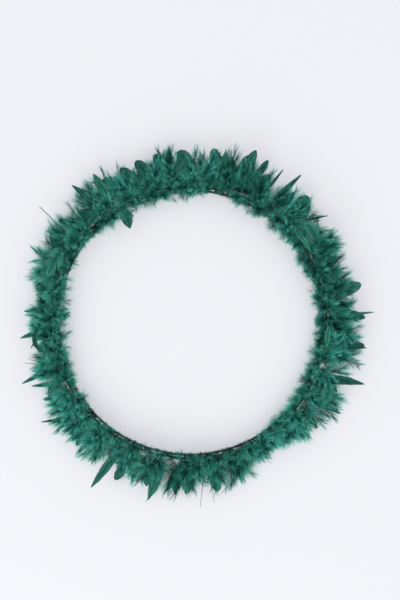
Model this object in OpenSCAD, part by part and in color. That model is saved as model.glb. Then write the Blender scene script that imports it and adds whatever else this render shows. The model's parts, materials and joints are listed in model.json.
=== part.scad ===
// Feather boa bound around the outside of a round wire hoop.
// Lies flat: +Z up, +Y is the top of the ring when it hangs, origin on the
// surface it lies on, under the ring's centre. Feathers fan out around a
// closed core cord in repeated rows, like the spokes of a bottle brush.

/* [Hoop] */
// Inside diameter of the wire hoop
hoop_inner_d = 400; // [300:5:500]
// Diameter of the hoop's wire
hoop_wire_d = 3.6; // [2.4:0.2:6]

/* [Core cord and thread] */
// Diameter of the boa's core cord
cord_d = 5; // [3.6:0.2:7]
// Diameter of the binding thread
thread_d = 0.8; // [0.5:0.1:1.2]
// Air left between neighbouring pieces
fit_gap = 0.3; // [0.2:0.05:0.5]
// Room along the cord where its two ends meet and carry no feathers
join_room = 16; // [12:1:24]
// Where the two ends meet, in degrees anticlockwise from +X
join_azimuth = -54; // [-180:1:180]

/* [Lashings] */
// Number of lashings that tie the boa to the hoop
lashings = 12; // [6:1:12]
// Width of a lashing along the hoop
lashing_w = 3; // [2:0.25:3.5]
// Thickness of a lashing's wound thread
lashing_t = 0.8; // [0.5:0.1:1.2]
// Diameter of a lashing's knot
lashing_knot_d = 2.4; // [1.6:0.2:3]

/* [Quills] */
// Diameter of a feather's quill
quill_d = 1.1; // [0.8:0.1:1.4]
// Distance along the cord from one quill to the next
quill_pitch = 3.6; // [3.2:0.1:5]
// Distance from the cord's axis at which a vane starts
vane_start = 9; // [8:0.5:12]
// Thickness of a vane
vane_t = 0.8; // [0.5:0.1:1]
// Share of a vane that its quill runs along
quill_share = 0.8; // [0.5:0.05:0.9]

/* [Down plumes] */
// Length of the plumes that lie under the ring, from the cord's axis
under_len = 50; // [40:1:60]
// How far those plumes slope down to the surface, in degrees
under_slope = 16; // [12:1:20]
// Length of the low outer plumes
outer_len = 46; // [36:1:56]
// Length of the high outer plumes
upper_len = 34; // [26:1:42]
// Length of the upright plumes
upright_len = 26; // [20:1:32]
// Length of the plumes that lean in over the hoop
inner_len = 26; // [20:1:32]
// Length of the plumes that lie in under the hoop
inner_under_len = 21; // [18:1:25]
// Width of a down plume
plume_w = 16; // [10:0.5:20]
// Width of the plumes that point inwards
inner_plume_w = 13; // [8:0.5:16]
// Shortest plume, as a share of the full length
shortest_plume = 0.84; // [0.7:0.02:1]

/* [Flat feathers] */
// Length of a flat feather, from the cord's axis
flat_len = 60; // [46:1:72]
// Width of a flat feather
flat_w = 18; // [12:0.5:21]
// How far a flat feather leans to one side, in degrees
flat_lean = 5; // [0:1:6]

/* [Stand-out feathers] */
// How far a stand-out feather swings to each side, in degrees
swing = 12; // [4:1:14]
// Width of a broad stand-out feather
broad_w = 17; // [10:0.5:20]
// Width of a narrow blade feather
blade_w = 8; // [5:0.5:10]
// How far the flat feather that points inwards reaches in from the cord's axis
inward_len = 36; // [28:1:50]
// Width of that inward feather
inward_w = 18; // [10:0.5:20]

/* [Hidden] */
$fn = 24;

// Rings: the hoop's wire inside, then the bound cord around it.
wire_r = hoop_wire_d / 2;
cord_r = cord_d / 2;
quill_r = quill_d / 2;
hoop_ring_r = hoop_inner_d / 2 + wire_r;
cord_ring_r = hoop_ring_r + wire_r + fit_gap + thread_d + fit_gap + cord_r;
cord_offset = cord_ring_r - hoop_ring_r;
quill_base = cord_r + fit_gap;
most_lean = 13;
swinging_base = quill_base + quill_r * sin(swing + most_lean);

// Directions of the rows around the cord: 0 points outwards, 90 up, 180 inwards.
clear_of_hoop = asin((wire_r + fit_gap + quill_r) / cord_offset) + 3;
low_dir = 6;
quill_dir = -5;
stand_out_dir = 18.5;
outer_dir = 33;
upper_dir = 62;
upright_dir = 96;
lean_in_dir = 126;
inward_dir = 180 - clear_of_hoop;
inner_under_slope = max(clear_of_hoop, 34);

// The ring rests on the tips of its lowest plumes.
function drop(length, slope) = length * sin(slope) + vane_t / 2 * cos(slope);
cord_z = max(drop(under_len, under_slope), drop(inner_under_len, inner_under_slope));

// One binding cycle: direction, length and width of each row's feather in turn.
CYCLE = [
    [-under_slope, under_len, plume_w],
    [upper_dir, upper_len, plume_w],
    [low_dir, flat_len, flat_w],
    [lean_in_dir, inner_len, inner_plume_w],
    [outer_dir, outer_len, plume_w],
    [180 + inner_under_slope, inner_under_len, inner_plume_w],
    [upright_dir, upright_len, plume_w],
];
ROWS = len(CYCLE);
FLAT_ROW = 2;
UNDER_ROW = 0;

// The ring is tied into equal sectors, each one lashing and whole cycles.
sectors = lashings;
join_angle = arc_angle(join_room);
sector_angle = (360 - join_angle) / sectors;
cycles = floor(arc_length(sector_angle) / (ROWS * quill_pitch));
slots = cycles * ROWS + 1;
slot_angle = sector_angle / slots;

// Free places between two quills, counted in each cycle.
SWING_PLACE = 4;
BARE_PLACE = 5;

// Stand-out feathers: clockwise angle of the tip from the ring's top, how far
// the tip stands out from the cord's axis seen from above, and kind.
STAND_OUTS = [
    [21, 72, "broad"],
    [37, 74, "blade"],
    [98, 64, "blade"],
    [211, 84, "broad"],
    [250, 64, "blade"],
    [274, 46, "blade"],
    [308, 78, "quill"],
    [327, 62, "broad"],
];
INWARD_TIP = 330;
// Bare quills: clockwise angle of each tip, and how far it stands out.
BARE_QUILLS = [[120, 54], [173, 66], [179, 60], [236, 54], [257, 60], [264, 56], [292, 50]];

// Lengths vary a little from feather to feather.
SEED = 41;
VARIATION = rands(0, 1, 1000, SEED);

// Lashing and join.
lashing_in_r = max(cord_r, wire_r) + fit_gap;
lashing_out_r = lashing_in_r + lashing_t;
join_wrap_room = join_room - 2;
join_knot_r = 1.6;
butt_gap = 0.6;

SECTOR_NAMES = [for (s = [1:sectors]) two_digits(s)];
STAND_OUT_NAMES = [for (i = [1:len(STAND_OUTS)]) two_digits(i)];

function two_digits(i) = i < 10 ? str("0", i) : str(i);
function arc_angle(length) = length / cord_ring_r * 180 / PI;
function arc_length(angle) = angle * PI / 180 * cord_ring_r;
function sector_start(s) = join_azimuth + join_angle / 2 + s * sector_angle;
function slot_azimuth(s, k) = sector_start(s) + (k + 0.5) * slot_angle;

// The azimuth of the free place that lies nearest to a wanted azimuth.
function free_places(place) = [
    for (s = [0:sectors - 1])
        for (c = [0:cycles - 1])
            sector_start(s) + (c * ROWS + place + 1) * slot_angle
];
function turn_between(a, b) = abs(((a - b) % 360 + 540) % 360 - 180);
function nearest(wanted, choices) =
    let (turns = [for (c = choices) turn_between(wanted, c)])
    let (found = [for (i = [0:len(choices) - 1]) if (turns[i] == min(turns)) choices[i]])
    found[0];

// Half the width of a vane at a share t of its length, for a full width w.
function half_width(t, w, blunt) = w / 2 * pow(sin(180 * pow(t, 0.85)), blunt);
function vane_outline(start, end, w, blunt) =
    let (steps = 7)
    let (right = [for (i = [0:steps]) outline_point(i / steps, start, end, w, blunt)])
    let (left = [for (i = [steps - 1:-1:1]) outline_point(i / steps, start, end, -w, blunt)])
    concat(right, left);
function outline_point(t, start, end, w, blunt) =
    [start + (end - start) * t, half_width(t, w, blunt)];

module quill(from, to) {
    translate([from, 0, 0])
        rotate([0, 90, 0])
            cylinder(h = to - from, r = quill_r);
}

// A feather along +X from the cord's axis, lying flat in its own plane.
module feather(length, w, blunt, base = quill_base) {
    quill(base, vane_start + (length - vane_start) * quill_share);
    translate([0, 0, -vane_t / 2])
        linear_extrude(vane_t)
            polygon(vane_outline(vane_start, length, w, blunt));
}

// Places a feather's plane on the cord: azimuth, direction around it, lean.
module on_cord(azimuth, direction, lean = 0) {
    rotate([0, 0, azimuth])
        translate([cord_ring_r, 0, cord_z])
            rotate([0, -direction, 0])
                rotate([0, 0, lean])
                    children();
}

module hoop() {
    color([0.05, 0.06, 0.06])
        translate([0, 0, cord_z])
            rotate_extrude($fn = 180)
                translate([hoop_ring_r, 0])
                    circle(wire_r);
}

module core_cord() {
    half_butt = arc_angle(butt_gap / 2);
    color([0.06, 0.26, 0.20])
        rotate([0, 0, join_azimuth + half_butt])
            translate([0, 0, cord_z])
                rotate_extrude(angle = 360 - 2 * half_butt, $fn = 180)
                    translate([cord_ring_r, 0])
                        circle(cord_r);
}

// A turn of thread around the cord after each cycle of feathers.
module binding_thread() {
    turn_r = cord_r + fit_gap + thread_d / 2;
    color([0.02, 0.16, 0.12])
        for (azimuth = free_places(ROWS - 1))
            rotate([0, 0, azimuth])
                translate([cord_ring_r, 0, cord_z])
                    rotate([90, 0, 0])
                        rotate_extrude()
                            translate([turn_r, 0])
                                circle(thread_d / 2);
}

// One layer of thread wound over the place where the cord's ends meet.
module join_wrap() {
    wrap_angle = arc_angle(join_wrap_room);
    color([0.02, 0.16, 0.12])
        rotate([0, 0, join_azimuth - wrap_angle / 2])
            translate([0, 0, cord_z])
                rotate_extrude(angle = wrap_angle, $fn = 180)
                    translate([cord_ring_r, 0])
                        difference() {
                            circle(cord_r + fit_gap + thread_d);
                            circle(cord_r + fit_gap);
                        }
}

module join_knot() {
    knot_lift = cord_r + fit_gap + thread_d + fit_gap + join_knot_r;
    color([0.02, 0.16, 0.12])
        rotate([0, 0, join_azimuth])
            translate([cord_ring_r, 0, cord_z + knot_lift])
                sphere(join_knot_r);
}

// Outline around both the wire and the cord, as a stadium.
module stadium(r) {
    circle(r);
    translate([-cord_offset, 0])
        circle(r);
    translate([-cord_offset, -r])
        square([cord_offset, 2 * r]);
}

module lashing(s) {
    color([0.02, 0.16, 0.12])
        rotate([0, 0, slot_azimuth(s, 0)])
            translate([cord_ring_r, 0, cord_z])
                rotate([90, 0, 0]) {
                    translate([0, 0, -lashing_w / 2])
                        linear_extrude(lashing_w)
                            difference() {
                                stadium(lashing_out_r);
                                stadium(lashing_in_r);
                            }
                    translate([-cord_offset / 2, lashing_out_r + lashing_knot_d / 4, 0])
                        sphere(lashing_knot_d / 2);
                }
}

function variation(s, k) = VARIATION[(s * slots + k) % len(VARIATION)];
function varied(s, k, row) =
    row == UNDER_ROW ? 1 : shortest_plume + (1 - shortest_plume) * variation(s, k);

module down_plumes(s) {
    color([0.04, 0.30, 0.23])
        for (k = [1:slots - 1]) {
            row = (k - 1) % ROWS;
            spec = CYCLE[row];
            if (row != FLAT_ROW)
                on_cord(slot_azimuth(s, k), spec[0])
                    feather(spec[1] * varied(s, k, row), spec[2], 0.7);
        }
}

module flat_feathers(s) {
    spec = CYCLE[FLAT_ROW];
    color([0.02, 0.22, 0.15])
        for (c = [0:cycles - 1]) {
            k = c * ROWS + FLAT_ROW + 1;
            azimuth = slot_azimuth(s, k);
            on_cord(azimuth, spec[0], flat_lean * sin(5 * azimuth))
                feather(spec[1] * varied(s, k, FLAT_ROW), spec[2], 0.55);
        }
}

// A feather whose tip lies at a given clockwise angle and distance outwards
// from the cord's axis, bound at the nearest free place on the cord.
module aimed(tip_angle, stand_out, direction, place) {
    wanted = 90 - tip_angle;
    reach = cord_ring_r + stand_out;
    azimuth = nearest(wanted, free_places(place));
    along = (reach * cos(wanted - azimuth) - cord_ring_r) / cos(direction);
    across = reach * sin(wanted - azimuth);
    lean = atan2(across, along);
    $length = norm([along, across]);
    // A leaning quill starts farther out, so that its end's rim clears the cord.
    $base = quill_base + quill_r * sin(abs(lean));
    on_cord(azimuth, direction, lean)
        children();
}

module stand_out_feather(i) {
    spec = STAND_OUTS[i];
    color([0.10, 0.34, 0.20])
        aimed(spec[0], spec[1], stand_out_dir, SWING_PLACE) {
            if (spec[2] == "broad")
                feather($length, broad_w, 0.6, swinging_base);
            if (spec[2] == "blade")
                feather($length, blade_w, 0.6, swinging_base);
            if (spec[2] == "quill")
                quill(swinging_base, $length);
        }
}

module inward_feather() {
    color([0.10, 0.34, 0.20])
        aimed(INWARD_TIP, -inward_len, inward_dir, SWING_PLACE)
            feather($length, inward_w, 0.6, $base);
}

module bare_quills() {
    color([0.06, 0.12, 0.08])
        for (spec = BARE_QUILLS)
            aimed(spec[0], spec[1], quill_dir, BARE_PLACE)
                quill($base, $length);
}

hoop();
core_cord();
binding_thread();
join_wrap();
join_knot();
for (s = [0:sectors - 1]) {
    lashing(s);
    down_plumes(s);
    flat_feathers(s);
}
for (i = [0:len(STAND_OUTS) - 1]) {
    stand_out_feather(i);
}
inward_feather();
bare_quills();
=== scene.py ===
import json
import math
from collections import namedtuple

import bpy
import numpy as np
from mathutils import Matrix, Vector


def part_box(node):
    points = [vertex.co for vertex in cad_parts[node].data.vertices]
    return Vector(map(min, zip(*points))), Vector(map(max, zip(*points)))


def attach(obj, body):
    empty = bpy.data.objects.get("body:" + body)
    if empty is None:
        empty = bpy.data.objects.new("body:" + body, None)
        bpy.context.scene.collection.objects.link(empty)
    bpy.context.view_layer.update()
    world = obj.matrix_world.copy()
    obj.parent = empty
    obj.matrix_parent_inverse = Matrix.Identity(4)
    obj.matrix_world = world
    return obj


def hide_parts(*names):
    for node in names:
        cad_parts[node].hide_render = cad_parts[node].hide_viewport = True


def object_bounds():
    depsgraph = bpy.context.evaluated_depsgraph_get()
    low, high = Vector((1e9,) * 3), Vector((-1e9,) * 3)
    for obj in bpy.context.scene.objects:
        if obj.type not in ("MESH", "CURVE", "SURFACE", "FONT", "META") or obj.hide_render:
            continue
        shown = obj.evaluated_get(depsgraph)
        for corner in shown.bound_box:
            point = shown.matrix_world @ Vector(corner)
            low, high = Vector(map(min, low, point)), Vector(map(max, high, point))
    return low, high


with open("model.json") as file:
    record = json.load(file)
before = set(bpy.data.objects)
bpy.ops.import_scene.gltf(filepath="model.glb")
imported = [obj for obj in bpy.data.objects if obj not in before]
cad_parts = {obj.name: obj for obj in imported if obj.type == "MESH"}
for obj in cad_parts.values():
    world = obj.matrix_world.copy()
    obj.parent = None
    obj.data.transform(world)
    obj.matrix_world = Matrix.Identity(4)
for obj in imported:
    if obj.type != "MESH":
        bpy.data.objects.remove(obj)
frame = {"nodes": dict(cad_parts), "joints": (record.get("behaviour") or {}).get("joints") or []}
CAD_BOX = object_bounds()

MM = 0.001
RAD = math.pi / 180


# ---------------------------------------------------------------- camera, floor and lights

CORD_LOW, CORD_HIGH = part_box("core_cord")
HOOP_LOW, HOOP_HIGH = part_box("hoop")
CORD_R = (CORD_HIGH.z - CORD_LOW.z) / 2
CORD_RING = (CORD_HIGH.x - CORD_LOW.x) / 2 - CORD_R
CORD_Z = (CORD_HIGH.z + CORD_LOW.z) / 2
WIRE_R = (HOOP_HIGH.z - HOOP_LOW.z) / 2
HOOP_RING = (HOOP_HIGH.x - HOOP_LOW.x) / 2 - WIRE_R
ROOT_OFF = CORD_R + 0.2 * MM    # a quill's root, from the cord's axis
FLOOR_CLEAR = 0.5 * MM
TOP = CAD_BOX[1].z + 9 * MM     # no tip rises higher
BENDS_AT = TOP - 14 * MM        # tips start to lie over here
UP = np.array([0.0, 0, 1])

VIEW_HEIGHT = 0.916          # height of the picture in the plane of the ring
LENS = 85.0
SENSOR = 36.0
CENTRE_OFF = (15.3 * MM, 34.4 * MM)   # the ring's centre sits left of and below the picture's
FLOOR_HALF = 15.0
FLOOR_COLOUR = (0.50, 0.505, 0.518)
FLOOR_GLOW = (0.965, 0.972, 1.0)
FLOOR_GLOW_STRENGTH = 0.37   # a lit table: shadows on it stay faint
SKY_COLOUR = (0.96, 0.968, 1.0)
SKY_STRENGTH = 0.885
RING_CENTRE = (0, 0, 0)


def make_camera():
    data = bpy.data.cameras.new("camera")
    data.lens = LENS
    data.sensor_width = SENSOR
    camera = bpy.data.objects.new("camera", data)
    camera.location = (*CENTRE_OFF, CORD_Z + VIEW_HEIGHT * LENS / SENSOR)
    bpy.context.collection.objects.link(camera)
    bpy.context.scene.camera = camera


def area_light(name, place, size, watts, colour):
    """A round soft light that faces the ring's centre."""
    data = bpy.data.lights.new(name, "AREA")
    data.shape = "DISK"
    data.size = size
    data.energy = watts
    data.color = colour
    light = bpy.data.objects.new(name, data)
    light.location = place
    way = np.array(RING_CENTRE) - np.array(place)
    light.rotation_mode = "QUATERNION"
    light.rotation_quaternion = Vector(way).to_track_quat("-Z", "Y")
    bpy.context.collection.objects.link(light)


def make_sky():
    world = bpy.data.worlds.new("soft_sky")
    bpy.context.scene.world = world
    world.use_nodes = True
    sky = world.node_tree.nodes["Background"]
    sky.inputs["Color"].default_value = (*SKY_COLOUR, 1)
    sky.inputs["Strength"].default_value = SKY_STRENGTH


def make_floor():
    half = FLOOR_HALF
    mesh = bpy.data.meshes.new("floor")
    corners = [(-half, -half, 0), (half, -half, 0), (half, half, 0), (-half, half, 0)]
    mesh.from_pydata(corners, [], [(0, 1, 2, 3)])
    floor = bpy.data.objects.new("floor", mesh)
    bpy.context.collection.objects.link(floor)
    paper = bpy.data.materials.new("paper")
    paper.use_nodes = True
    shader = paper.node_tree.nodes["Principled BSDF"]
    shader.inputs["Base Color"].default_value = (*FLOOR_COLOUR, 1)
    shader.inputs["Emission Color"].default_value = (*FLOOR_GLOW, 1)
    shader.inputs["Emission Strength"].default_value = FLOOR_GLOW_STRENGTH
    shader.inputs["Roughness"].default_value = 0.9
    shader.inputs["Specular IOR Level"].default_value = 0.1
    mesh.materials.append(paper)


def make_stage():
    bpy.context.scene.view_settings.view_transform = "Standard"
    make_floor()
    make_sky()
    area_light("window", (-0.9, -2.3, 1.8), 2.4, 34, (1.0, 0.985, 0.97))
    area_light("fill", (1.2, 1.4, 2.6), 2.2, 5, (0.94, 0.97, 1.0))


# ---------------------------------------------------------------- geometry

def unit(v):
    return v / np.maximum(np.linalg.norm(v, axis=-1, keepdims=True), 1e-12)


def col(values, count):
    """One value for each of count feathers."""
    return np.broadcast_to(np.asarray(values, float), (count,)).copy()


def per_barb(value, shape):
    """One value for each barb, from one or more values that fit (feathers, barbs)."""
    return np.broadcast_to(value, shape).ravel()


def pressed_down(height):
    """Tips that rise past BENDS_AT lie over more and more, and never reach TOP."""
    over = np.maximum(height - BENDS_AT, 0)
    return np.minimum(height, BENDS_AT) + (TOP - BENDS_AT) * (1 - np.exp(-over / (TOP - BENDS_AT)))


class Growth:
    """Collects vertices, faces, map places and material numbers of one piece."""

    def __init__(self):
        self.points, self.maps, self.corners, self.sizes, self.mats = [], [], [], [], []
        self.count = 0

    def add(self, points, maps, faces, mat):
        self.points.append(points.reshape(-1, 3))
        self.maps.append(maps.reshape(-1, 2))
        self.corners.append((faces + self.count).reshape(-1))
        self.sizes.append(np.full(len(faces), faces.shape[1], np.int32))
        self.mats.append(np.full(len(faces), mat, np.int32))
        self.count += len(self.points[-1])

    def piece(self, name, materials):
        points = np.concatenate(self.points)
        points[:, 2] = np.maximum(pressed_down(points[:, 2]), FLOOR_CLEAR)
        corners = np.concatenate(self.corners).astype(np.int32)
        sizes = np.concatenate(self.sizes)
        mesh = bpy.data.meshes.new(name)
        mesh.vertices.add(len(points))
        mesh.vertices.foreach_set("co", points.ravel().astype(np.float32))
        mesh.loops.add(len(corners))
        mesh.loops.foreach_set("vertex_index", corners)
        mesh.polygons.add(len(sizes))
        starts = np.concatenate([[0], np.cumsum(sizes)[:-1]])
        mesh.polygons.foreach_set("loop_start", starts.astype(np.int32))
        mesh.polygons.foreach_set("loop_total", sizes)
        mesh.polygons.foreach_set("material_index", np.concatenate(self.mats))
        mesh.polygons.foreach_set("use_smooth", np.ones(len(sizes), bool))
        mesh.update(calc_edges=True)
        layer = mesh.uv_layers.new(name="OFBake")
        layer.data.foreach_set("uv", np.concatenate(self.maps)[corners].ravel().astype(np.float32))
        for material in materials:
            mesh.materials.append(material)
        obj = bpy.data.objects.new(name, mesh)
        bpy.context.collection.objects.link(obj)
        return obj


def bent_paths(start, ahead, aside, above, length, angle, sweep, lift, curl, steps):
    """Curves that leave start at an angle to `ahead`, sweep within the plane of
    ahead and aside, and curl out of it. Returns (count, steps + 1, 3)."""
    t = (np.arange(steps) + 0.5) / steps
    a = angle[:, None] + sweep[:, None] * t
    e = lift[:, None] + curl[:, None] * t
    way = (np.cos(e) * np.cos(a))[..., None] * ahead[:, None] \
        + (np.cos(e) * np.sin(a))[..., None] * aside[:, None] + np.sin(e)[..., None] * above[:, None]
    hops = way * (length / steps)[:, None, None]
    return start[:, None] + np.concatenate([np.zeros_like(hops[:, :1]), np.cumsum(hops, 1)], 1)


def tangents(paths):
    t = np.empty_like(paths)
    t[:, 1:-1] = paths[:, 2:] - paths[:, :-2]
    t[:, 0] = paths[:, 1] - paths[:, 0]
    t[:, -1] = paths[:, -1] - paths[:, -2]
    return unit(t)


def sample(values, t):
    """Values (F, K+1, 3) read at shares t (F, M) of their length."""
    k = values.shape[1] - 1
    x = np.clip(t, 0, 1) * k
    i = np.minimum(x.astype(int), k - 1)
    f = (x - i)[..., None]
    rows = np.arange(len(values))[:, None]
    return values[rows, i] * (1 - f) + values[rows, i + 1] * f


# A kind of surface: its material's number in the piece, its band of the map, and its number of tones.
Kind = namedtuple("Kind", "mat band tones")
DOWN = Kind(0, (0.0, 0.5), 16)
VANE = Kind(1, (0.5, 0.85), 10)
QUILL = Kind(2, (0.85, 1.0), 4)
THREAD = Kind(0, (0.0, 1.0), 1)


def band_map(u, tone, across, kind):
    """Map places: u runs along the barb; its band has a row for each tone, which `across` crosses."""
    low, high = kind.band
    v = low + (high - low) * (tone + 0.08 + 0.84 * across) / kind.tones
    return np.stack(np.broadcast_arrays(u, v), -1)


def ribbons(growth, paths, cross, width, taper, tone, kind):
    """Flat strips along the paths. width (N,), taper (steps + 1,), cross (N, steps + 1, 3)."""
    n, k = paths.shape[:2]
    half = (width[:, None] * taper[None] / 2)[..., None] * cross
    points = np.stack([paths - half, paths + half], 2)
    u = np.linspace(0.01, 0.99, k)
    edges = np.array([0.0, 1.0])[None, None]
    maps = band_map(u[None, :, None], tone[:, None, None], edges, kind)
    maps = np.broadcast_to(maps, (n, k, 2, 2))
    base = (np.arange(n) * k * 2)[:, None] + (np.arange(k - 1) * 2)[None]
    faces = np.stack([base, base + 1, base + 3, base + 2], -1).reshape(-1, 4)
    growth.add(points, maps, faces, kind.mat)


def barbules(growth, paths, cross, length, width, per_side, tone, kind, rng):
    """Short pointed strands along both sides of each barb."""
    n = len(paths)
    t = (np.arange(per_side) + 0.5) / per_side
    t = np.clip(t[None] + rng.uniform(-0.4, 0.4, (n, per_side)) / per_side, 0.02, 0.98)
    at = sample(paths, t)
    way = unit(sample(tangents(paths), t))
    out = unit(sample(cross, t))
    up = np.cross(way, out)
    reach = length[:, None] * (1 - 0.45 * t) * rng.uniform(0.6, 1.2, t.shape)
    for sign in (-1, 1):
        spread = rng.uniform(0.65, 1.15, t.shape)[..., None]
        tilt = rng.uniform(-0.5, 0.5, t.shape)[..., None]
        tip = at + unit(np.cos(spread) * way + sign * np.sin(spread) * out + tilt * up) * reach[..., None]
        foot = way * (width / 2)
        points = np.stack([at - foot, at + foot, tip], 2)
        u = np.stack([t * 0.94, t * 0.94 + 0.03, np.minimum(t * 0.94 + 0.06, 0.99)], -1)
        across = np.array([0.1, 0.3, 0.9])
        maps = band_map(u, tone[:, None, None], across[None, None], kind)
        faces = np.arange(n * per_side * 3).reshape(-1, 3)
        growth.add(points, maps, faces, kind.mat)


def tubes(growth, paths, radius, taper, tone, kind, sides=5):
    """Round tapering rods along the paths."""
    n, k = paths.shape[:2]
    way = tangents(paths)
    ref = np.where(np.abs(way[..., 2:3]) < 0.9, UP, np.array([1.0, 0, 0]))
    x = unit(np.cross(way, ref))
    y = np.cross(way, x)
    row = sides + 1
    around = np.arange(row) / sides
    turn = around * 2 * np.pi
    spokes = np.cos(turn)[:, None] * x[:, :, None] + np.sin(turn)[:, None] * y[:, :, None]
    points = paths[:, :, None] + (radius[:, None] * taper[None])[..., None, None] * spokes
    u = np.linspace(0.01, 0.99, k)
    maps = band_map(u[None, :, None], tone[:, None, None], around[None, None], kind)
    maps = np.broadcast_to(maps, (n, k, row, 2))
    rings = np.arange(n)[:, None] * k + np.arange(k - 1)
    base = rings[:, :, None] * row + np.arange(sides)
    faces = np.stack([base, base + 1, base + row + 1, base + row], -1).reshape(-1, 4)
    growth.add(points, maps, faces, kind.mat)


# ---------------------------------------------------------------- materials

class Nodes:
    """Short calls that add and join shader nodes."""

    def __init__(self, name):
        self.material = bpy.data.materials.new(name)
        self.material.use_nodes = True
        self.tree = self.material.node_tree
        self.shader = self.tree.nodes["Principled BSDF"]

    def put(self, socket, value):
        if isinstance(value, bpy.types.NodeSocket):
            self.tree.links.new(value, socket)
        else:
            socket.default_value = value

    def math(self, kind, *values):
        node = self.tree.nodes.new("ShaderNodeMath")
        node.operation = kind
        for socket, value in zip(node.inputs, values):
            self.put(socket, value)
        return node.outputs[0]

    def ramp(self, factor, stops):
        node = self.tree.nodes.new("ShaderNodeValToRGB")
        ramp = node.color_ramp
        while len(ramp.elements) < len(stops):
            ramp.elements.new(1.0)
        for element, (place, colour) in zip(ramp.elements, stops):
            element.position = place
            element.color = (*colour, 1)
        self.put(node.inputs["Fac"], factor)
        return node.outputs["Color"]

    def mix(self, factor, a, b, blend="MIX"):
        node = self.tree.nodes.new("ShaderNodeMix")
        node.data_type = "RGBA"
        node.blend_type = blend
        self.put(node.inputs[0], factor)
        self.put(node.inputs[6], a)
        self.put(node.inputs[7], b)
        return node.outputs[2]

    def noise(self, vector, scale, detail=2.0):
        node = self.tree.nodes.new("ShaderNodeTexNoise")
        node.inputs["Scale"].default_value = scale
        node.inputs["Detail"].default_value = detail
        self.put(node.inputs["Vector"], vector)
        return node.outputs["Fac"]

    def stretched(self, vector, scale):
        node = self.tree.nodes.new("ShaderNodeMapping")
        node.inputs["Scale"].default_value = scale
        self.put(node.inputs["Vector"], vector)
        return node.outputs["Vector"]

    def bump(self, height, strength, distance):
        node = self.tree.nodes.new("ShaderNodeBump")
        node.inputs["Strength"].default_value = strength
        node.inputs["Distance"].default_value = distance
        self.put(node.inputs["Height"], height)
        self.put(self.shader.inputs["Normal"], node.outputs["Normal"])

    def let_light_through(self, colour, share):
        thin = self.tree.nodes.new("ShaderNodeBsdfTranslucent")
        self.put(thin.inputs["Color"], colour)
        both = self.tree.nodes.new("ShaderNodeMixShader")
        both.inputs[0].default_value = share
        self.tree.links.new(self.shader.outputs[0], both.inputs[1])
        self.tree.links.new(thin.outputs[0], both.inputs[2])
        self.tree.links.new(both.outputs[0], self.tree.nodes["Material Output"].inputs["Surface"])

    def set(self, **values):
        for name, value in values.items():
            self.shader.inputs[name.replace("_", " ")].default_value = value


def feather_material(name, kind, dull, bright, roughness, sheen, streaks):
    """dull and bright are colour runs from a barb's root to its tip; the down's runs hold painted shade at
    the root and painted light at the tip. A barb's tone lies between them.
    """
    n = Nodes(name)
    uv = n.tree.nodes.new("ShaderNodeUVMap")
    uv.uv_map = "OFBake"
    parts = n.tree.nodes.new("ShaderNodeSeparateXYZ")
    n.put(parts.inputs[0], uv.outputs["UV"])
    u, v = parts.outputs[0], parts.outputs[1]
    low, high = kind.band
    row = n.math("MULTIPLY", n.math("SUBTRACT", v, low), kind.tones / (high - low))
    tone = n.math("DIVIDE", n.math("FLOOR", row), kind.tones - 1.0)
    across = n.math("FRACT", row)
    grain = n.noise(n.stretched(uv.outputs["UV"], (7.0, 260.0, 1.0)), 1.0)
    colour = n.mix(tone, n.ramp(u, dull), n.ramp(u, bright))
    shade = n.math("MULTIPLY_ADD", grain, 2 * streaks, 1.0 - streaks)
    grey = n.tree.nodes.new("ShaderNodeCombineColor")
    for socket in grey.inputs:
        n.put(socket, shade)
    n.put(n.shader.inputs["Base Color"], n.mix(1.0, colour, grey.outputs[0], "MULTIPLY"))
    ridge = n.math("SINE", n.math("MULTIPLY", across, math.pi))
    n.bump(n.math("MULTIPLY_ADD", grain, 0.5, ridge), 0.5, 0.2 * MM)
    n.set(Roughness=roughness, Sheen_Weight=sheen, Sheen_Roughness=0.35, Sheen_Tint=(0.15, 0.80, 0.60, 1),
          Specular_IOR_Level=0.15)
    n.let_light_through(n.mix(1.0, colour, (1.35, 1.25, 1.2, 1), "MULTIPLY"), 0.3)
    return n.material


def thread_material(name, colour, strand):
    """Fine spun thread: strands wind around it."""
    n = Nodes(name)
    where = n.tree.nodes.new("ShaderNodeTexCoord").outputs["Object"]
    grain = n.noise(where, 1.0 / strand, 3.0)
    dark = tuple(0.45 * c for c in colour)
    n.put(n.shader.inputs["Base Color"], n.ramp(grain, [(0.3, dark), (0.7, colour)]))
    n.bump(grain, 0.6, 0.1 * MM)
    n.set(Roughness=0.8, Sheen_Weight=0.25, Sheen_Roughness=0.4)
    return n.material


def wire_material():
    """Black lacquered wire, a little uneven in gloss."""
    n = Nodes("hoop_black")
    where = n.tree.nodes.new("ShaderNodeTexCoord").outputs["Object"]
    wear = n.noise(where, 90.0, 4.0)
    colours = [(0.35, (0.006, 0.011, 0.010)), (0.75, (0.016, 0.026, 0.024))]
    n.put(n.shader.inputs["Base Color"], n.ramp(wear, colours))
    n.put(n.shader.inputs["Roughness"], n.math("MULTIPLY_ADD", wear, 0.25, 0.3))
    n.bump(n.noise(where, 600.0, 3.0), 0.15, 0.1 * MM)
    return n.material


# The down darkens towards the root, painted shade deep in the fluff, and lightens towards the tip, painted
# light shining through the thin tips.
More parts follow.
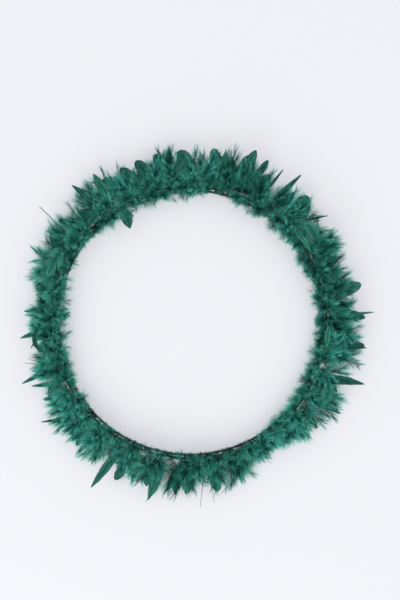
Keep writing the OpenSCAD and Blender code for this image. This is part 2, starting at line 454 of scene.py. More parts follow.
MAT_DOWN = feather_material(
    "down", DOWN,
    [(0.0, (0.001, 0.014, 0.011)), (0.35, (0.002, 0.062, 0.048)), (0.75, (0.012, 0.190, 0.148)),
     (1.0, (0.045, 0.370, 0.305))],
    [(0.0, (0.003, 0.050, 0.038)), (0.35, (0.022, 0.310, 0.244)), (0.75, (0.120, 0.680, 0.550)),
     (1.0, (0.340, 0.900, 0.780))],
    0.8, 0.3, 0.25)
MAT_VANE = feather_material(
    "vane", VANE,
    [(0.0, (0.004, 0.062, 0.044)), (0.5, (0.010, 0.130, 0.096)), (0.78, (0.008, 0.098, 0.074)),
     (1.0, (0.001, 0.018, 0.015))],
    [(0.0, (0.014, 0.140, 0.094)), (0.5, (0.062, 0.350, 0.250)), (0.78, (0.044, 0.260, 0.190)),
     (1.0, (0.004, 0.042, 0.034))],
    0.5, 0.2, 0.35)
MAT_QUILL = feather_material(
    "quill", QUILL,
    [(0.0, (0.001, 0.014, 0.010)), (1.0, (0.001, 0.020, 0.014))],
    [(0.0, (0.004, 0.060, 0.030)), (1.0, (0.020, 0.240, 0.110))],
    0.4, 0.0, 0.2)
FEATHER_MATS = [MAT_DOWN, MAT_VANE, MAT_QUILL]
MAT_CORD = thread_material("cord_yarn", (0.010, 0.085, 0.060), 0.4 * MM)
MAT_THREAD = thread_material("sewing_thread", (0.004, 0.040, 0.030), 0.25 * MM)
MAT_WIRE = wire_material()


# ---------------------------------------------------------------- feathers

SHAFT_STEPS = 8
BARB_STEPS = 6
DOWN_TAPER = np.array([1.0, 1.0, 0.95, 0.85, 0.7, 0.5, 0.2])
VANE_TAPER = np.array([0.7, 1.0, 1.05, 1.05, 1.0, 0.9, 0.55])
DOWN_SHAFT_R = 0.26 * MM
VANE_SHAFT_R = 0.42 * MM
VANE_SHAFT_STEPS = 12
VANE_BARB_PITCH = 0.62 * MM
BARBULE_LENGTH = 1.7 * MM
BARBULE_WIDTH = 0.22 * MM
HALVINGS = 18
BARB_SAG = 0.12              # how far a barb's tip hangs down, as a share of its length


def turned(first, second, angle):
    """Two square axes turned within their plane."""
    c, s = np.cos(angle)[:, None], np.sin(angle)[:, None]
    return c * first + s * second, c * second - s * first


def bound_frames(azimuth, direction, lean, roll):
    """Axes of feathers bound to the cord: ahead along the quill, aside, and above its face."""
    zero = np.zeros_like(azimuth)
    radial = np.stack([np.cos(azimuth), np.sin(azimuth), zero], -1)
    along = np.stack([-np.sin(azimuth), np.cos(azimuth), zero], -1)
    out, top = turned(radial, UP, direction)
    ahead, side = turned(out, along, lean)
    aside, above = turned(side, top, roll)
    centre = radial * CORD_RING + UP * CORD_Z
    return centre, ahead, aside, above


def shafts(centre, ahead, aside, above, length, sweep, curl, steps=SHAFT_STEPS):
    """The shafts' curves from the cord out, and their axes: along, aside and above."""
    start = centre + ahead * ROOT_OFF
    zero = np.zeros(len(start))
    paths = bent_paths(start, ahead, aside, above, length, zero, sweep, zero, curl, steps)
    way = tangents(paths)
    normal = unit(above[:, None] - np.sum(above[:, None] * way, -1, keepdims=True) * way)
    side = np.cross(normal, way)
    return paths, way, side, normal


def barb_roots(shaft, t):
    """Places and axes on the shafts at shares t of their length, one row for each barb."""
    paths, way, side, normal = shaft
    axes = [unit(sample(axis, t)).reshape(-1, 3) for axis in (way, side, normal)]
    return sample(paths, t).reshape(-1, 3), *axes


def clumped(rng, feathers, count, clumps, spread):
    """Values that wander from barb to barb, so that neighbours lie together."""
    knots = rng.normal(0, spread, (feathers, clumps + 1))
    x = np.linspace(0, clumps, count)
    i = np.minimum(x.astype(int), clumps - 1)
    f = x - i
    f = f * f * (3 - 2 * f)
    return knots[:, i] * (1 - f) + knots[:, i + 1] * f


def gathered(strands, group, pull):
    """Strands drawn towards the middle of their lock, most at their tips."""
    n, k = strands.shape[:2]
    locks = strands[:n // group * group].reshape(-1, group, k, 3)
    share = (pull * np.linspace(0, 1, k) ** 1.5)[None, None, :, None]
    drawn = locks + (locks.mean(1, keepdims=True) - locks) * share
    return np.concatenate([drawn.reshape(-1, k, 3), strands[n // group * group:]])


def down_plumes(growth, rng, centre, ahead, aside, above, length, barb, curliness, tone, barbs=70, spurs=5,
                thickness=0.38, first=0.04, group=6, pull=0.55):
    """Marabou plumes: a thin shaft, and long soft barbs that gather in locks and fan out past its tip."""
    f = len(length)
    shaft_length = np.maximum(length - 0.62 * barb, 0.35 * length)
    sweep = rng.normal(0, 0.25, f)
    shaft = shafts(centre, ahead, aside, above, shaft_length, sweep, rng.normal(-0.15, 0.22, f))
    narrowing = np.linspace(1, 0.3, SHAFT_STEPS + 1)
    tubes(growth, shaft[0], col(DOWN_SHAFT_R, f), narrowing, col(1, f), QUILL, 3)
    for sign in (-1, 1):
        t = first + (1 - first) * (np.arange(barbs) + 0.5) / barbs
        t = t[None] + rng.uniform(-0.5, 0.5, (f, barbs)) * (1 - first) / barbs
        t = np.clip(t, 0, 1)
        strands, side, above_face = down_barbs(rng, shaft, t, sign, barb, curliness)
        strands = gathered(strands, group, pull)
        spin = rng.uniform(-0.9, 0.9, len(strands))[:, None, None]
        cross = unit(np.cross(tangents(strands), above_face[:, None] + spin * side[:, None]))
        lock_tone = np.repeat(rng.normal(0, 3.0, (f, barbs // group + 1)), group, 1)[:, :barbs]
        tones = tone[:, None] + lock_tone + rng.normal(0, 0.9, t.shape)
        tones = np.clip(np.round(tones), 0, DOWN.tones - 1).ravel()
        width = col(thickness * MM, len(strands))
        ribbons(growth, strands, cross, width, DOWN_TAPER, tones, DOWN)
        if spurs:
            reach = col(BARBULE_LENGTH, len(strands))
            barbules(growth, strands, cross, reach, BARBULE_WIDTH, spurs, tones, DOWN, rng)


def down_barbs(rng, shaft, t, sign, barb, curliness):
    """Barbs on one side of the plumes, and the axes of their roots."""
    f, barbs = t.shape
    splay = clumped(rng, f, barbs, 8, 0.25) * (1.1 - 0.6 * t)
    angle = (1.25 - 0.95 * t ** 1.4) + splay + rng.normal(0, 0.08, t.shape)
    lift = clumped(rng, f, barbs, 7, 0.30) + rng.normal(0, 0.14, t.shape)
    curl = clumped(rng, f, barbs, 5, 0.5) * (0.35 + curliness[:, None]) + rng.normal(0, 0.2, t.shape)
    bend = clumped(rng, f, barbs, 5, 0.4) * (0.3 + curliness[:, None])
    sweep = -0.4 + bend + rng.normal(0, 0.12, t.shape)
    size = barb[:, None] * (0.62 + 0.38 * np.sin(np.pi * np.clip(t * 1.25, 0, 1) ** 0.7))
    size = size * rng.uniform(0.72, 1.12, t.shape)
    shape = [per_barb(v, t.shape) for v in (size, angle, sweep, lift, curl)]
    at, way, side, above = barb_roots(shaft, t)
    strands = bent_paths(at, way, sign * side, above, *shape, BARB_STEPS)
    strands[..., 2] -= (np.linspace(0, 1, BARB_STEPS + 1) ** 2)[None] * shape[0][:, None] * BARB_SAG
    return strands, side, above


def leaf(share, pointed):
    """A flat feather's width at a share of its length, from 0 to 1. Its tip is round or pointed."""
    rise = np.sin(np.pi * np.clip(share, 0, 1) ** (1.7 - 0.8 * pointed))
    return np.maximum(rise, 0) ** (0.45 + 0.5 * pointed)


def barb_reach(place, angle, length, half_width, pointed):
    """How long barbs must be for their tips to lie on the leaf's outline, found by halving."""
    low = np.zeros_like(angle)
    high = half_width / np.sin(angle)
    for _ in range(HALVINGS):
        middle = (low + high) / 2
        outline = half_width * leaf((place + middle * np.cos(angle)) / length, pointed)
        inside = middle * np.sin(angle) < outline
        low = np.where(inside, middle, low)
        high = np.where(inside, high, middle)
    return low


def vanes(growth, rng, centre, ahead, aside, above, length, width, tone, sweep, curl, pointed=0.5, cup=-0.5,
          sheer=1.0, bare=0.2, fluff=True, splits=0.06):
    """Flat feathers: a shaft, and barbs that lie side by side as a web, split here and there."""
    f = len(length)
    shaft_length = length * 0.94
    shaft = shafts(centre, ahead, aside, above, shaft_length, sweep, curl, VANE_SHAFT_STEPS)
    shaft_tone = np.clip(np.round(tone / VANE.tones * QUILL.tones), 0, QUILL.tones - 1)
    narrowing = np.linspace(1, 0.25, VANE_SHAFT_STEPS + 1)
    tubes(growth, shaft[0], col(VANE_SHAFT_R, f), narrowing, shaft_tone, QUILL, 5)
    barbs = int(np.ceil(length.max() * (1 - bare) / VANE_BARB_PITCH))
    for sign in (-1, 1):
        j = (np.arange(barbs) + 0.5) / barbs
        t = bare + (1 - bare) * j[None] + np.zeros((f, 1))
        gaps = np.round(clumped(rng, f, barbs, max(barbs // 7, 2), 1.0))
        angle = 0.95 - 0.35 * j[None] - 0.45 * j[None] ** 6 + splits * gaps + rng.normal(0, 0.012, t.shape)
        steady = np.clip(angle - 0.17, 0.12, 1.4)      # a swept barb's mean angle
        reach = barb_reach(t * shaft_length[:, None], steady, length[:, None], (width / 2)[:, None], pointed)
        reach = reach * (1 + 0.5 * splits * gaps) * rng.uniform(0.95, 1.02, t.shape)
        lift = 0.18 + 0.4 * splits * gaps
        shape = [per_barb(v, t.shape) for v in (reach, angle, -0.35, lift, cup)]
        at, way, side, over = barb_roots(shaft, t)
        strands = bent_paths(at, way, sign * side, over, *shape, BARB_STEPS)
        cross = unit(np.cross(over[:, None] + 0.22 * way[:, None], tangents(strands)))
        tones = np.round(tone[:, None] + clumped(rng, f, barbs, 9, 1.0))
        tones = np.clip(tones, 0, VANE.tones - 1).ravel()
        barb_width = col(0.95 * sheer * MM, len(strands))
        ribbons(growth, strands, cross, barb_width, VANE_TAPER, tones, VANE)
    if fluff:
        down_plumes(growth, rng, centre, ahead, aside, above, length * 0.55, col(13 * MM, f), col(0.6, f),
                    col(8, f), barbs=24, spurs=3)


# ---------------------------------------------------------------- cord, thread and lashings

THREAD_R = 0.4 * MM
THREAD_CLEAR = 0.3 * MM
CORD_LAY = 9 * MM            # length in which a ply goes once round
PLY_OFF = 0.46 * CORD_R      # a ply's middle, from the cord's axis
THREAD_PITCH = 3.7 * MM
JOIN_HALF = 7 * MM
JOIN_TURNS = 16


def ring_point(azimuth, out, up):
    """Points at an azimuth, offset from the cord's axis outwards and upwards."""
    r = CORD_RING + out
    return np.stack([r * np.cos(azimuth), r * np.sin(azimuth), CORD_Z + up], -1)


def rod(growth, path, radius, sides=6):
    """One round rod of an even width and tone."""
    tubes(growth, path[None], col(radius, 1), np.ones(len(path)), np.zeros(1), THREAD, sides)


def azimuth_of(node):
    low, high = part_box(node)
    return math.atan2(low.y + high.y, low.x + high.x)


def ring_piece(growth, name, slot, *nodes, materials=FEATHER_MATS):
    """Makes the piece, which rides on the ring and stands for the CAD nodes named."""
    piece = growth.piece(name, materials)
    if nodes:
        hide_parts(*nodes)
    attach(piece, "ring")


JOIN_AZIMUTH = azimuth_of("join_knot")


def make_cord():
    """Two plies laid round each other, all the way round the ring."""
    growth = Growth()
    turns = 2 * math.pi * CORD_RING / CORD_LAY
    share = np.linspace(0.0003, 0.9997, int(turns * 10))
    for ply in (0, 1):
        twist = 2 * math.pi * turns * share + ply * math.pi
        out, up = PLY_OFF * np.cos(twist), PLY_OFF * np.sin(twist)
        rod(growth, ring_point(JOIN_AZIMUTH + 2 * math.pi * share, out, up), CORD_R - PLY_OFF)
    ring_piece(growth, "cord_two_ply", "core_cord", "core_cord", materials=[MAT_CORD])


def make_binding():
    """One thread wound round the cord, from one side of the join to the other."""
    growth = Growth()
    turns = 2 * math.pi * CORD_RING / THREAD_PITCH
    share = np.linspace(0.006, 0.994, int(turns * 12))
    turn = 2 * math.pi * turns * share
    r = CORD_R + THREAD_CLEAR + THREAD_R
    path = ring_point(JOIN_AZIMUTH + 2 * math.pi * share, r * np.cos(turn), r * np.sin(turn))
    rod(growth, path, THREAD_R, 5)
    ring_piece(growth, "binding_thread_wound", "thread", "binding_thread", materials=[MAT_THREAD])


def make_join_wrap():
    """Close turns of thread over the place where the boa's ends meet."""
    growth = Growth()
    half = JOIN_HALF / CORD_RING
    share = np.linspace(0, 1, JOIN_TURNS * 16)
    turn = 2 * math.pi * JOIN_TURNS * share
    r = CORD_R + THREAD_CLEAR + THREAD_R
    path = ring_point(JOIN_AZIMUTH + half * (2 * share - 1), r * np.cos(turn), r * np.sin(turn))
    rod(growth, path, THREAD_R)
    ring_piece(growth, "join_whipping", "thread", "join_wrap", materials=[MAT_THREAD])


def knot(growth, place, size, tail_length, rng):
    """A tight three-crossing knot of thread with two short tails."""
    t = np.linspace(0, 2 * math.pi, 60)
    loop = np.stack([np.sin(t) + 2 * np.sin(2 * t), np.cos(t) - 2 * np.cos(2 * t), -1.1 * np.sin(3 * t)], -1)
    rod(growth, place + loop * (size / 3.4), THREAD_R)
    for sign in (-1, 1):
        way = unit(np.array([sign * rng.uniform(0.4, 1), rng.uniform(-1, 1), 0.5]))
        s = np.linspace(0, 1, 9)[:, None]
        droop = np.array([0.0, 0, -0.9]) * s ** 2
        rod(growth, place + (way * s + droop) * tail_length, THREAD_R * 0.8, 5)


def make_join_knot():
    growth = Growth()
    low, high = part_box("join_knot")
    knot(growth, np.array((low + high) / 2), (high.z - low.z) / 2, 7 * MM, np.random.default_rng(7))
    ring_piece(growth, "join_thread_knot", "thread", "join_knot", materials=[MAT_THREAD])


def make_lashing(number):
    """Four turns of thread round both the wire and the cord, tied on top."""
    growth = Growth()
    node = f"lashing_{number:02d}"
    azimuth = azimuth_of(node)
    r = max(CORD_R, WIRE_R) + THREAD_CLEAR + THREAD_R
    gap = CORD_RING - HOOP_RING
    bend = np.linspace(-math.pi / 2, math.pi / 2, 10)
    round_cord = np.stack([r * np.cos(bend), r * np.sin(bend)], -1)
    round_wire = np.stack([-gap - r * np.cos(bend), -r * np.sin(bend)], -1)
    laps = np.tile(np.concatenate([round_cord, round_wire]), (4, 1))
    along = np.linspace(-1.2, 1.2, len(laps)) * MM / CORD_RING
    rod(growth, ring_point(azimuth + along, laps[:, 0], laps[:, 1]), THREAD_R)
    top = ring_point(np.array(azimuth), -gap / 2, r + 0.5 * MM)
    knot(growth, top, 1.2 * MM, 5 * MM, np.random.default_rng(300 + number))
    ring_piece(growth, f"lashing_thread_{number:02d}", "thread", node, materials=[MAT_THREAD])


# ---------------------------------------------------------------- the ring's own shape

# The ring isn't even all the way round. A stretch is the clockwise angle of its middle from the top and its
# half width, both in degrees, and what it adds to the usual value there.
USUAL_OUT, OUT_STRETCHES = 56 * MM, [
    (145, 14, -28 * MM),   # low and sparse, where the boa's two ends meet
    (255, 30, -16 * MM),   # short along the left
    (65, 25, -6 * MM),
    (281, 7, -14 * MM),    # a neck, past which a blade shows
]
USUAL_IN, IN_STRETCHES = 10 * MM, [
    (208, 38, -12 * MM),   # bare wire at the lower left
    (297, 14, -12 * MM),   # bare wire at the upper left
    (12, 9, -10 * MM),     # bare wire near the top
    (155, 22, -9 * MM),    # bare wire at the lower right
    (270, 15, 8 * MM),     # long wisps at the left
]
USUAL_TONE, TONE_STRETCHES = 7.4, [
    (255, 35, 3),          # lighter along the left
    (145, 15, 2),
    (10, 20, -3),          # darker round the top
]
USUAL_FILL, FILL_STRETCHES = 1.0, [
    (210, 30, -0.2),
    (262, 8, -0.3),        # a gap that shows through the arched blade
]


def along_ring(usual, stretches, azimuth):
    """The usual value, plus each stretch's change, which fades on both sides of its middle."""
    turn = 90 - np.degrees(azimuth)
    value = np.full(turn.shape, float(usual))
    for middle, half_width, change in stretches:
        off = (turn - middle + 180) % 360 - 180
        value += change * np.exp(-(off / half_width) ** 2)
    return value


def outward(azimuth):
    return along_ring(USUAL_OUT, OUT_STRETCHES, azimuth)


def inward(azimuth):
    return np.maximum(along_ring(USUAL_IN, IN_STRETCHES, azimuth), 0)


def lightness(azimuth):
    return along_ring(USUAL_TONE, TONE_STRETCHES, azimuth)


SECTORS = len([n for n in frame["nodes"] if n.startswith("lashing_")])


def sector_span(number):
    """Start and end azimuth of a sector, from its lashing and the next one's."""
    start = azimuth_of(f"lashing_{number:02d}")
    end = azimuth_of(f"lashing_{number % SECTORS + 1:02d}")
    return start, start + (end - start) % (2 * math.pi)


# Rows of plumes around the cord: direction, its spread, count in a sector, length where it is not set by
# the ring's outline, barb length, how curly, and how far its locks draw together.
ROWS = [
    (-13, 5, 9, "out", 24, 0.1, 0.1),
    (4, 6, 7, "out", 26, 0.1, 0.15),
    (20, 7, 7, "out", 27, 0.15, 0.3),
    (38, 8, 6, 52, 27, 0.3, 0.5),
    (60, 9, 5, 42, 26, 0.5, 0.6),
    (86, 11, 6, 31, 23, 0.7, 0.6),
    (112, 10, 6, 26, 20, 0.7, 0.55),
    (138, 8, 6, "in", 19, 0.4, 0.3),
]
TUFTS_IN_SECTOR = 5    # neighbouring plumes share a reach and a tone
WISPS_IN_SECTOR = 11
HIGHLIGHT_STRANDS_IN_SECTOR = 4
UNDER_PLUMES_IN_SECTOR = 20
FLATS_IN_SECTOR = 5
BARE_WIRE = 2.5 * MM   # where the down reaches in less than this, none leans over the wire


def row_frames(rng, azimuth, turn):
    """Frames of plumes that lean and roll by chance; turn is their direction in degrees."""
    count = len(azimuth)
    return bound_frames(azimuth, turn * RAD, rng.normal(0, 0.42, count), rng.normal(0, 0.55, count))


def plume_sizes(rng, length, azimuth, turn, tuft_reach):
    """Lengths of a row's plumes: from the ring's outline outwards or inwards, or the row's own."""
    count = len(azimuth)
    out = outward(azimuth)
    if length == "out":
        return 1.15 * out / np.cos(turn * RAD) * rng.uniform(0.92, 1.03, count) * tuft_reach
    if length == "in":
        inside = inward(azimuth)
        size = np.where(inside > BARE_WIRE, (CORD_RING - HOOP_RING + inside) * 1.25, 4 * MM)
        return size * rng.uniform(0.85, 1.1, count)
    return length * MM * rng.uniform(0.8, 1.1, count) * (0.55 + 0.45 * out / (50 * MM))


def make_row(growth, rng, span, row, tuft_reach, tuft_tone):
    """One row of a sector's plumes."""
    start, end = span
    direction, spread, count, length, barb, curly, pull = row
    share = (np.arange(count) + rng.uniform(0.1, 0.9, count)) / count
    azimuth = start + (end - start) * share
    share = share[rng.uniform(0, 1, count) < along_ring(USUAL_FILL, FILL_STRETCHES, azimuth)]
    azimuth = start + (end - start) * share
    count = len(share)
    tuft = (share * TUFTS_IN_SECTOR).astype(int)
    turn = direction + rng.normal(0, spread, count)
    if length != "in" and direction > 100:
        # Where the wire is bare, the plumes next to it stand up more.
        turn = turn - 22 + np.minimum(inward(azimuth) / MM, 12) * 2.6
    size = plume_sizes(rng, length, azimuth, turn, tuft_reach[tuft])
    tone = lightness(azimuth) + tuft_tone[tuft] + rng.normal(0, 3.8, count)
    barb_length = np.minimum(barb * MM * rng.uniform(0.85, 1.15, count), 1.1 * size)
    down_plumes(growth, rng, *row_frames(rng, azimuth, turn), size, barb_length, col(curly, count),
                np.clip(tone, 2, 14), pull=pull, group=7)


def make_plumes(number, rng):
    """All the down of one sector."""
    growth = Growth()
    start, end = sector_span(number)
    tuft_reach = rng.uniform(0.85, 1.12, TUFTS_IN_SECTOR)
    tuft_tone = rng.normal(0, 2.2, TUFTS_IN_SECTOR)
    for row in ROWS:
        make_row(growth, rng, (start, end), row, tuft_reach, tuft_tone)
    make_wisps(growth, rng, start, end)
    make_under_down(growth, rng, start, end)
    make_highlight_strands(growth, rng, start, end)
    ring_piece(growth, f"plumes_{number:02d}", "down", f"down_plumes_{number:02d}")


def make_wisps(growth, rng, start, end):
    """Fine loose down that leans in over the wire."""
    azimuth = rng.uniform(start, end, WISPS_IN_SECTOR)
    inside = inward(azimuth)
    kept = inside > BARE_WIRE
    azimuth = azimuth[kept]
    inside = inside[kept]
    count = len(azimuth)
    if count:
        size = (CORD_RING - HOOP_RING + WIRE_R + inside) * 1.6 * rng.uniform(0.75, 1.15, count)
        frames = row_frames(rng, azimuth, 155 + rng.normal(0, 6, count))
        down_plumes(growth, rng, *frames, size, col(17 * MM, count), col(0.15, count),
                    rng.uniform(6, 13, count), barbs=46, spurs=2, thickness=0.18, pull=0.1)


def make_highlight_strands(growth, rng, start, end):
    """A few long barbs in the palest tones that lie loose over the top: painted highlights on the fluff."""
    azimuth = rng.uniform(start, end, HIGHLIGHT_STRANDS_IN_SECTOR)
    count = len(azimuth)
    size = outward(azimuth) * rng.uniform(0.55, 0.85, count)
    frames = row_frames(rng, azimuth, rng.uniform(35, 80, count))
    # The palest tones, 12 to 15, are painted highlights.
    down_plumes(growth, rng, *frames, size, col(27 * MM, count), col(0.8, count),
                rng.uniform(12, 15, count), barbs=20, spurs=0, thickness=0.5, pull=0.1)


def make_under_down(growth, rng, start, end):
    """Short down under the cord and the wire, which closes the gap between them. Its darkest tones are
    painted shade under the cord and the wire.
    """
    count = UNDER_PLUMES_IN_SECTOR
    azimuth = start + (end - start) * (np.arange(count) + rng.uniform(0.2, 0.8, count)) / count
    inside = np.minimum(inward(azimuth), 12 * MM)
    size = 7.5 * MM + 0.45 * inside
    barb = 7 * MM + 0.25 * inside
    frames = row_frames(rng, azimuth, 215 + rng.normal(0, 5, count))
    # Tones 0 to 2: painted shade under the cord and the wire.
    down_plumes(growth, rng, *frames, size, barb, col(0.4, count), rng.uniform(0, 2, count),
                barbs=20, spurs=2, thickness=0.8, pull=0.0)


def make_flats(number, rng):
    """Flat feathers that stand out between the plumes, here and there."""
    growth = Growth()
    start, end = sector_span(number)
    count = FLATS_IN_SECTOR
    azimuth = start + (end - start) * (np.arange(count) + rng.uniform(0.0, 1.0, count)) / count
    direction = rng.normal(8, 5, count) * RAD
    frames = bound_frames(azimuth, direction, rng.normal(0, 0.5, count), rng.normal(0, 0.5, count))
    tone = np.clip(lightness(azimuth) * 0.6 + rng.uniform(-3, 3, count), 0, VANE.tones - 1)
    length = outward(azimuth) * rng.uniform(0.55, 0.97, count)
    width = rng.uniform(11, 21, count) * MM
    sweep = rng.normal(0, 0.2, count)
    vanes(growth, rng, *frames, length, width, tone, sweep, rng.normal(-0.1, 0.2, count), splits=0.05)
    ring_piece(growth, f"flats_{number:02d}", "flat_vane", f"flat_feathers_{number:02d}")


# ---------------------------------------------------------------- single feathers that show

# Clockwise angle of the tip from the top, how far it stands out from the cord's axis (negative: inside the
# ring), lean against the spoke (positive: clockwise), direction above the surface, width, tone. Lengths are
# in mm and angles in degrees. In TUFTS the barbs' length takes the place of the width.
FLATS = [
    (8, 58, -24, 8, 20, 6), (27, 62, 28, 8, 12, 2), (44, 54, -12, 11, 24, 5),
    (77, 56, -14, 10, 20, 5), (88, 57, 16, 7, 15, 2), (97, 58, -8, 5, 12, 1),
    (171, 50, 0, 10, 19, 5), (185, 50, 10, 8, 14, 3), (206, 54, 15, 10, 16, 4), (301, 45, 30, 16, 12, 1),
]
POINTS = [
    (108, 70, -24, 12, 14, 2), (192, 68, 0, 8, 18, 6), (247, 52, 10, 10, 8, 8), (319, 67, -22, 16, 14, 2),
    (266, 51, -5, 8, 10, 6), (85, 71, -18, 10, 6, 7), (354, 58, 14, 14, 14, 3), (13, 56, 12, 18, 16, 5),
    (121, 60, -8, 6, 9, 3),
]
BLADES = [
    (32, 64, 15, 16, 5, 1), (51, 59, 25, 10, 4, 1), (257, 26, -70, 18, 6, 1), (262, 38, -55, 22, 6, 2),
    (233, 68, 8, 6, 6, 4),
]
SHEERS = [
    (358, 55, -25, 9, 24, 3), (336, 48, -28, 8, 18, 2), (342, 50, -26, 9, 20, 2), (330, 47, -18, 8, 18, 1),
    (349, 53, -26, 9, 20, 3), (20, 59, 10, 10, 19, 3),
]
TUFTS = [
    (62, 54, 0, 18, 26, 9), (120, 66, -4, 10, 24, 9), (135, 54, 5, 10, 24, 10), (162, 58, 0, 8, 24, 8),
    (232, 66, 6, 6, 22, 9), (241, 50, 10, 8, 16, 8), (290, 50, 5, 20, 28, 11), (228, 52, 0, 4, 22, 10),
    (254, 48, 10, 4, 22, 10), (216, 62, -5, 4, 22, 8), (348, 54, 0, 24, 22, 9), (280, 16, 0, 62, 17, 14),
    (254, -14, 0, 20, 13, 1), (274, -27, 0, 22, 16, 8), (0, -17, 0, 22, 14, 9), (66, -17, 0, 20, 15, 8),
    (90, -19, 0, 20, 16, 8), (10, 60, 0, 22, 22, 6), (22, 60, 6, 20, 22, 6), (97, 60, 4, 10, 22, 9),
]
# Feathers laid on or along the ring: clockwise angle of the root from the top, its offset outwards and
# upwards from the cord's axis, heading (0: outwards, positive: clockwise), length, bend (positive: to the
# left), width, tone.
LAID = [
    (45, 5, 24, 90, 56, -15, 9, 9), (90, 2, 24, 90, 40, -11, 10, 9), (207, 2, 22, 5, 32, 0, 21, 5),
    (269, 16, 27, -30, 52, 125, 7, 1), (343, -11, 3, -85, 30, 14, 4, 1),
]
# Like FLATS, with a tone in place of the width.
QUILLS = [
    (173, 66, 4, -2, 2), (176, 72, 8, -3, 2), (193, 72, 6, -3, 1), (255, 51, 14, 4, 2), (256, 46, 24, 0, 1),
    (121, 52, 0, 0, 1), (185, 55, 8, -2, 0), (292, 50, -10, 10, 1), (236, 54, 10, 0, 1),
    (121, -14, 20, 12, 2),
]


# As LAID: soft feathers whose long strands lie combed side by side.
COMBED = [
    (302, 15, 25, -84, 56, 16, 34, 9), (58, 20, 26, -80, 40, 14, 28, 7), (196, 18, 24, 60, 36, -12, 26, 8),
    (112, 20, 26, 72, 40, -14, 28, 7),
]
INWARD_FLAT = [(328.5, -36, 8, 22)]
QUILL_STEPS = 14


def aimed(entries):
    """Frames and lengths of feathers whose tips lie where the entries say, seen from above."""
    table = np.array([e[:4] for e in entries], float)
    tip, lean, direction = table[:, 0] * RAD, table[:, 2] * RAD, table[:, 3] * RAD
    reach = CORD_RING + table[:, 1] * MM
    points_in = table[:, 1] < 0
    half_turn = np.where(points_in, math.pi, 0.0)
    slant = lean + half_turn
    across = CORD_RING * np.sin(slant)
    plan = -CORD_RING * np.cos(slant) + np.cos(half_turn) * np.sqrt(reach ** 2 - across ** 2)
    turn = np.arctan2(plan * np.sin(slant), CORD_RING + plan * np.cos(slant))
    azimuth = math.pi / 2 - (tip - turn)
    direction = np.where(points_in, math.pi - direction, direction)
    frames = bound_frames(azimuth, direction, np.where(points_in, lean, -lean), np.zeros(len(table)))
    return frames, plan / np.abs(np.cos(direction))


def make_rim_vanes(name, entries, slot, seed, sweep=0.15, **style):
    """Flat feathers, points or blades whose tips show at the rim."""
    growth = Growth()
    rng = np.random.default_rng(seed)
    frames, length = aimed(entries)
    width = np.array([e[4] for e in entries]) * MM
    tone = np.array([e[5] for e in entries], float)
    count = len(entries)
    bends = rng.normal(0, sweep, count)
    vanes(growth, rng, *frames, length, width, tone, bends, rng.normal(-0.05, 0.15, count), **style)
    ring_piece(growth, name, slot)


def make_tufts():
    """Soft tufts of down at the rim, each of two plumes."""
    growth = Growth()
    rng = np.random.default_rng(55)
    frames, length = aimed(TUFTS)
    barb = np.array([e[4] for e in TUFTS]) * MM
    tone = np.array([e[5] for e in TUFTS], float)
    curly = col(0.3, len(TUFTS))
    for _ in range(2):
        size = length * rng.uniform(0.9, 1, len(TUFTS))
        down_plumes(growth, rng, *frames, size, barb, curly, tone, barbs=90, spurs=6)
    ring_piece(growth, "rim_tufts", "down")


def make_laid(name, entries, seed, slot, **style):
    """Feathers that lie over the ring, from LAID or COMBED."""
    growth = Growth()
    rng = np.random.default_rng(seed)
    for angle, outside, up, heading, length, bend, width, tone in entries:
        azimuth = np.array([(90 - angle) * RAD])
        _, ahead, aside, above = bound_frames(azimuth, np.zeros(1), np.array([-heading * RAD]), np.zeros(1))
        centre = ring_point(azimuth, outside * MM, col(up * MM, 1)) - ahead * ROOT_OFF
        vanes(growth, rng, centre, ahead, aside, above, col(length * MM, 1), col(width * MM, 1), col(tone, 1),
              col(bend * RAD, 1), col(-0.1, 1), bare=0.1, fluff=False, **style)
    ring_piece(growth, name, slot)


def make_bare_quills():
    """Thin shafts without barbs."""
    growth = Growth()
    rng = np.random.default_rng(66)
    frames, length = aimed(QUILLS)
    count = len(QUILLS)
    sweep = rng.normal(0, 0.2, count)
    paths = shafts(*frames, length, sweep, rng.normal(0.1, 0.15, count), QUILL_STEPS)[0]
    tone = np.array([e[4] for e in QUILLS], float)
    taper = np.linspace(1, 0.45, QUILL_STEPS + 1)
    tubes(growth, paths, col(0.65 * MM, count), taper, tone, QUILL, 6)
    ring_piece(growth, "bare_quill_shafts", "quill", "bare_quills")


def make_inward_flat():
    """The one flat feather that points into the ring."""
    growth = Growth()
    rng = np.random.default_rng(77)
    frames, length = aimed(INWARD_FLAT)
    vanes(growth, rng, *frames, length, col(20 * MM, 1), col(5, 1), col(0.1, 1), col(0.1, 1), pointed=0.9,
          bare=0.12)
    ring_piece(growth, "inward_flat", "flat_vane", "inward_feather")


# Kind, width in mm and tone of each stand-out feather, in the order of the joints.
STAND_OUT_LOOKS = [("round", 17, 3), ("blade", 9, 2), ("blade", 8, 1), ("point", 13, 5),
                   ("blade", 8, 4), ("blade", 7, 1), ("quill", 1, 1), ("point", 18, 6)]


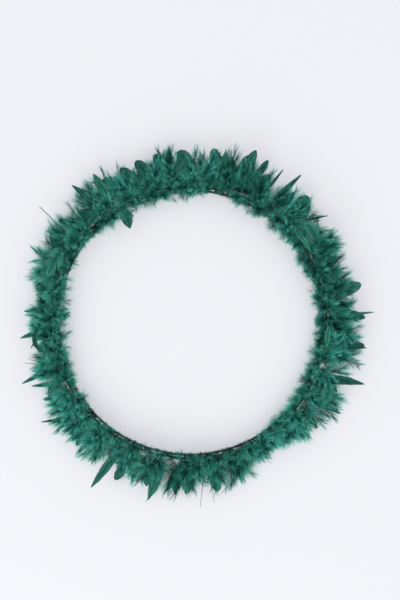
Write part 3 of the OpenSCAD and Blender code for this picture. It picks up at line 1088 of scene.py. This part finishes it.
def stand_out_shape(node, joint):
    """Frame and length of a stand-out feather, from its joint's pivot to the tip of its CAD leaf."""
    points = np.array([v.co for v in frame["nodes"][node].data.vertices], float)
    pivot = np.array(joint["pos_m"], float)
    tip = points[np.argmax(np.linalg.norm(points - pivot, axis=1))]
    ahead, above = unit(tip - pivot), unit(np.array(joint["axis"], float))
    aside = np.cross(above, ahead)
    frames = [v[None] for v in (pivot - ahead * ROOT_OFF, ahead, aside, above)]
    return frames, col(np.linalg.norm(tip - pivot), 1)


def make_stand_out(number, joint):
    """It swings on its own CAD body."""
    node = f"stand_out_feather_{number:02d}"
    frames, length = stand_out_shape(node, joint)
    growth = Growth()
    rng = np.random.default_rng(400 + number)
    kind, width, tone = STAND_OUT_LOOKS[number - 1]
    if kind == "quill":
        paths = shafts(*frames, length, col(0.05, 1), col(-0.1, 1), QUILL_STEPS)[0]
        taper = np.linspace(1, 0.7, QUILL_STEPS + 1)
        tubes(growth, paths, col(0.8 * MM, 1), taper, col(3, 1), QUILL, 6)
    else:
        vanes(growth, rng, *frames, length, col(width * MM, 1), col(tone, 1), col(0.0, 1), col(0.05, 1),
              pointed=0.2 if kind == "round" else 0.9, bare=0.22, fluff=kind != "blade")
    piece = growth.piece(f"stand_out_{number:02d}", FEATHER_MATS)
    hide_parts(node)
    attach(piece, f"feather_{number:02d}")


# ---------------------------------------------------------------- the whole object

make_camera()
make_stage()
make_cord()
make_binding()
make_join_wrap()
make_join_knot()
for number in range(1, SECTORS + 1):
    make_lashing(number)
    make_plumes(number, np.random.default_rng(100 + number))
    make_flats(number, np.random.default_rng(200 + number))
make_rim_vanes("rim_flats", FLATS, "flat_vane", 11, pointed=0.1)
make_rim_vanes("rim_points", POINTS, "flat_vane", 22, pointed=1.0)
make_rim_vanes("rim_blades", BLADES, "blade_vane", 33, pointed=1.0, fluff=False, sweep=0.3, splits=0.04)
make_rim_vanes("rim_sheers", SHEERS, "flat_vane", 44, sheer=0.8, pointed=0.0, cup=-0.2, splits=0.02)
make_tufts()
make_laid("laid_flats", LAID, 88, "flat_vane", pointed=0.7, splits=0.03)
make_laid("combed_strands", COMBED, 99, "down", pointed=0.3, splits=0.12, sheer=0.42)
make_bare_quills()
make_inward_flat()
for number, joint in enumerate(frame["joints"], 1):
    make_stand_out(number, joint)
hoop = frame["nodes"]["hoop"]
hoop.data.materials.clear()
hoop.data.materials.append(MAT_WIRE)
